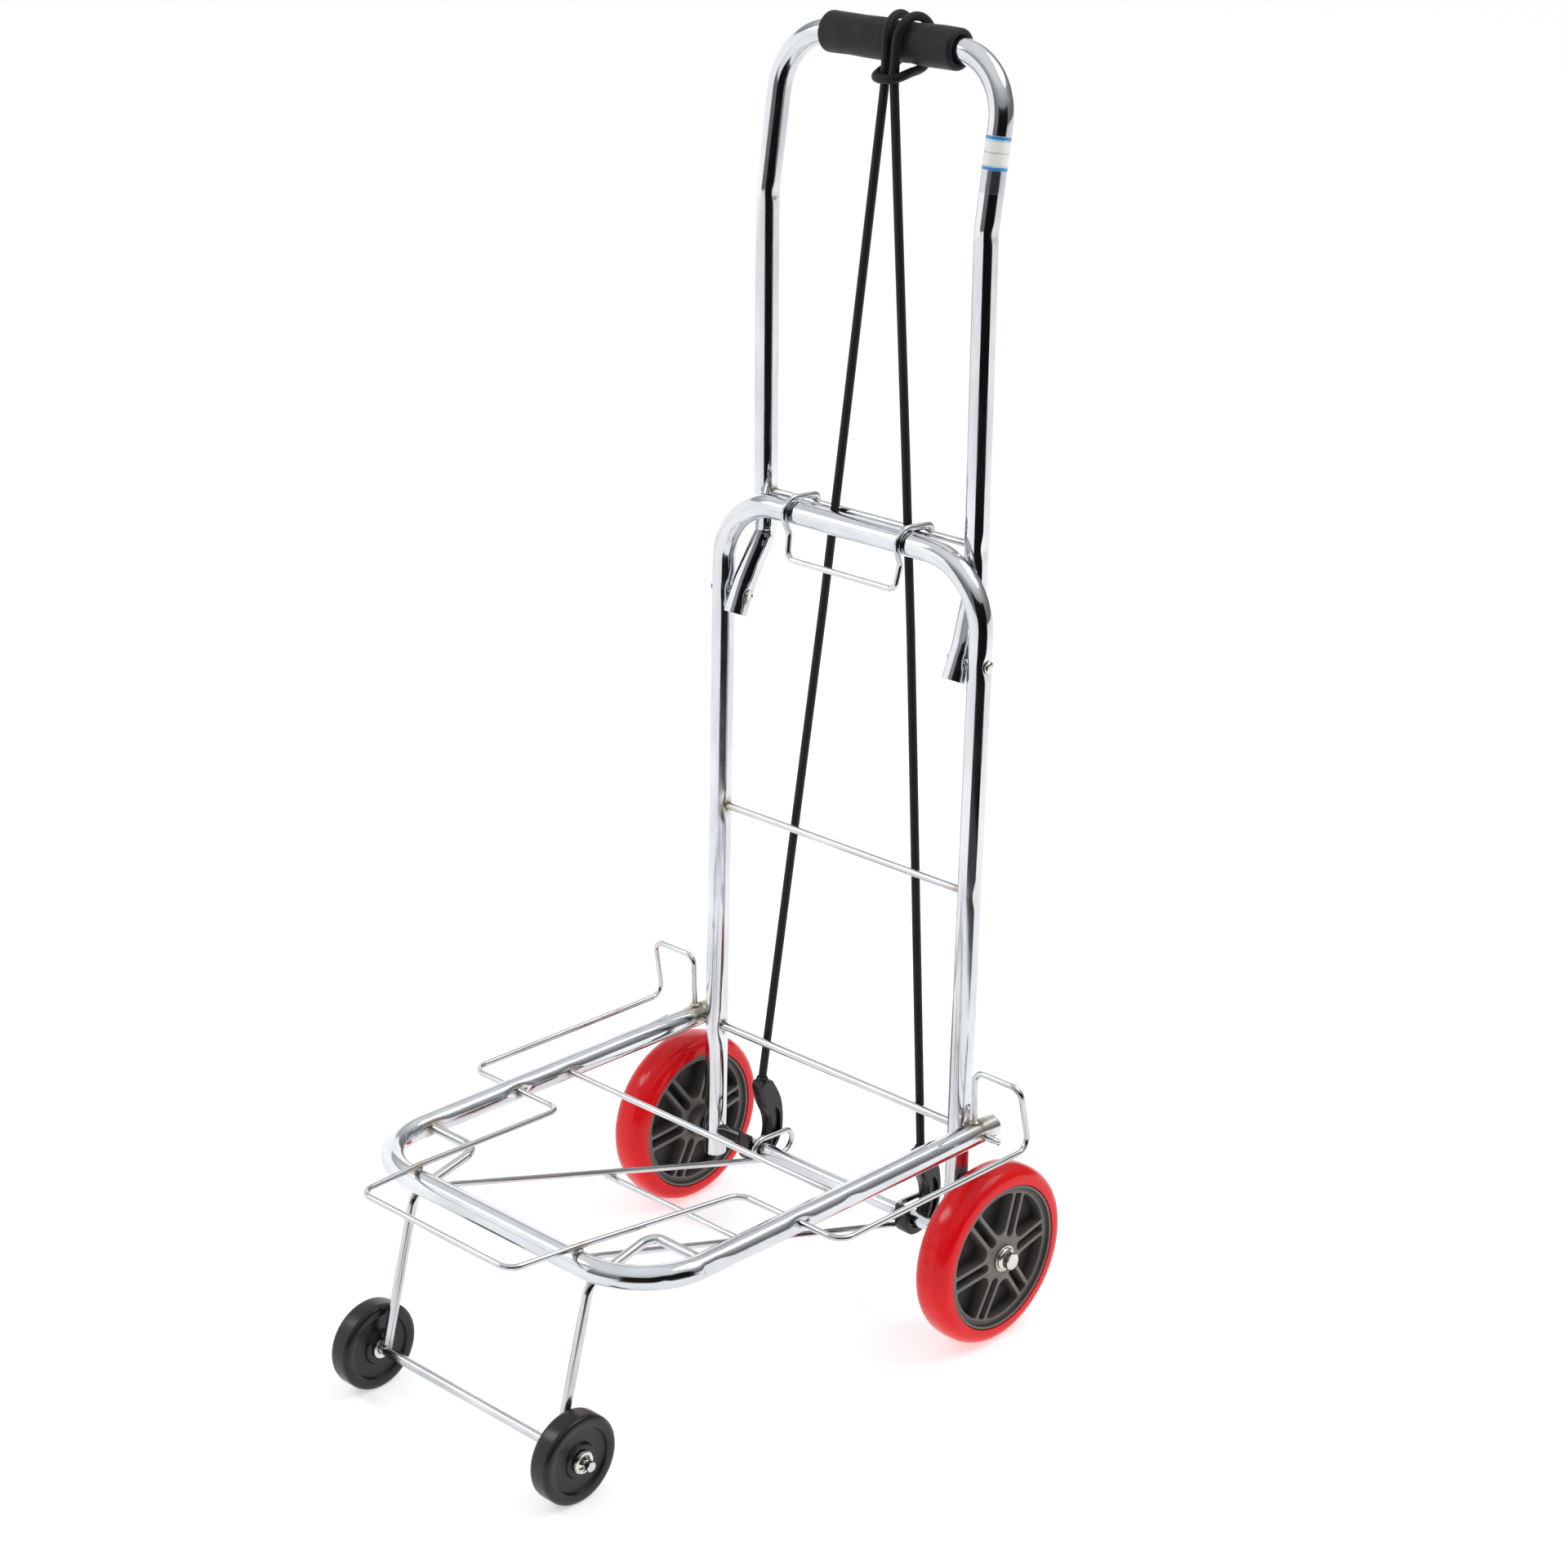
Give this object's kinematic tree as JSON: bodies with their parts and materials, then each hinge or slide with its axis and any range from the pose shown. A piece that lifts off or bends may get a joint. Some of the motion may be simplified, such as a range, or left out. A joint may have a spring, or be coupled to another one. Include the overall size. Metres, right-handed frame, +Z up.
{
  "type": "folding luggage cart",
  "caption": "Upright tube frame with a fold-up load platform, a fold-down handle with foam grip, rear wheels, small front casters and an elastic cord.",
  "frame": {"origin": "centre of the bounding box in X and Y, on the floor plane under the wheels", "axes": "-Y towards the front edge of the load platform, +Z up, +X to the right as seen from in front of the load, the side of the handle that carries the label"},
  "size_m": [0.411, 0.5076, 1.0249],
  "materials": {
    "chrome": "polished",
    "nickel": "satin",
    "tyre_red": "glossy",
    "hub_plastic": "moulded",
    "caster_rubber": "satin",
    "grip_foam": "foam skin",
    "cord_weave": "woven",
    "hook_plastic": "moulded",
    "label": "blank printed film"
  },
  "bodies": {
    "frame": {"frame_tube": "chrome", "upper_crossbar": "chrome", "platform_pivot_rod": "chrome", "rear_axle": "chrome", "handle_rivet_left": "nickel", "handle_rivet_right": "nickel", "rear_washer_left": "nickel", "rear_washer_right": "nickel", "rear_nut_left": "nickel", "rear_nut_right": "nickel", "hook_left": "hook_plastic", "hook_right": "hook_plastic", "elastic_cord": "cord_weave"},
    "handle": {"handle_tube": "chrome", "foam_grip": "grip_foam", "handle_label": "label", "latch_rod": "chrome"},
    "latch": {"latch_bail": "chrome"},
    "platform": {"platform_tube": "chrome", "platform_cross_wire": "chrome", "rail_wire": "chrome"},
    "caster_frame": {"caster_leg_left": "chrome", "caster_leg_right": "chrome", "caster_brace": "chrome", "front_axle": "chrome", "caster_washer_inner_left": "nickel", "caster_washer_inner_right": "nickel", "caster_washer_outer_left": "nickel", "caster_washer_outer_right": "nickel", "caster_push_nut_left": "nickel", "caster_push_nut_right": "nickel"},
    "fold_link": {"link_wire_left": "chrome", "link_wire_right": "chrome", "link_cross_wire": "chrome"},
    "rear_wheel_left": {"rear_tyre_left": "tyre_red", "rear_hub_left": "hub_plastic"},
    "rear_wheel_right": {"rear_tyre_right": "tyre_red", "rear_hub_right": "hub_plastic"},
    "caster_left": {"caster_wheel_left": "caster_rubber", "caster_bush_left": "nickel"},
    "caster_right": {"caster_wheel_right": "caster_rubber", "caster_bush_right": "nickel"}
  },
  "joints": [
    {"name": "platform_fold", "type": "hinge", "parent": "frame", "child": "platform", "pos_m": [0, 0.17878, 0.173], "axis": [-1, 0, 0], "range_deg": [0, 84]},
    {"name": "caster_frame_fold", "type": "hinge", "parent": "platform", "child": "caster_frame", "pos_m": [0, -0.12422, 0.175], "axis": [1, 0, 0], "range_deg": [0, 109.4]},
    {"name": "link_fold", "type": "hinge", "parent": "caster_frame", "child": "fold_link", "pos_m": [0, -0.17322, 0.1625], "axis": [-1, 0, 0], "range_deg": [0, 90.9]},
    {"name": "handle_fold", "type": "hinge", "parent": "frame", "child": "handle", "pos_m": [0, 0.17878, 0.5568], "axis": [-1, 0, 0], "range_deg": [0, 169], "deforming": ["elastic_cord", "latch_bail"]},
    {"name": "latch_lift", "type": "hinge", "parent": "handle", "child": "latch", "pos_m": [0, 0.19998, 0.64], "axis": [-1, 0, 0], "range_deg": [0, 110]},
    {"name": "rear_wheel_left_spin", "type": "hinge", "parent": "frame", "child": "rear_wheel_left", "pos_m": [-0.17, 0.17878, 0.075], "axis": [1, 0, 0], "continuous": true},
    {"name": "rear_wheel_right_spin", "type": "hinge", "parent": "frame", "child": "rear_wheel_right", "pos_m": [0.17, 0.17878, 0.075], "axis": [1, 0, 0], "continuous": true},
    {"name": "caster_left_spin", "type": "hinge", "parent": "caster_frame", "child": "caster_left", "pos_m": [-0.1125, -0.21822, 0.0355], "axis": [1, 0, 0], "continuous": true},
    {"name": "caster_right_spin", "type": "hinge", "parent": "caster_frame", "child": "caster_right", "pos_m": [0.1125, -0.21822, 0.0355], "axis": [1, 0, 0], "continuous": true}
  ],
  "couplings": [
    {"joint": "caster_frame_fold", "follows": "platform_fold", "ratio": 1.3},
    {"joint": "link_fold", "follows": "platform_fold", "ratio": 1.08}
  ]
}
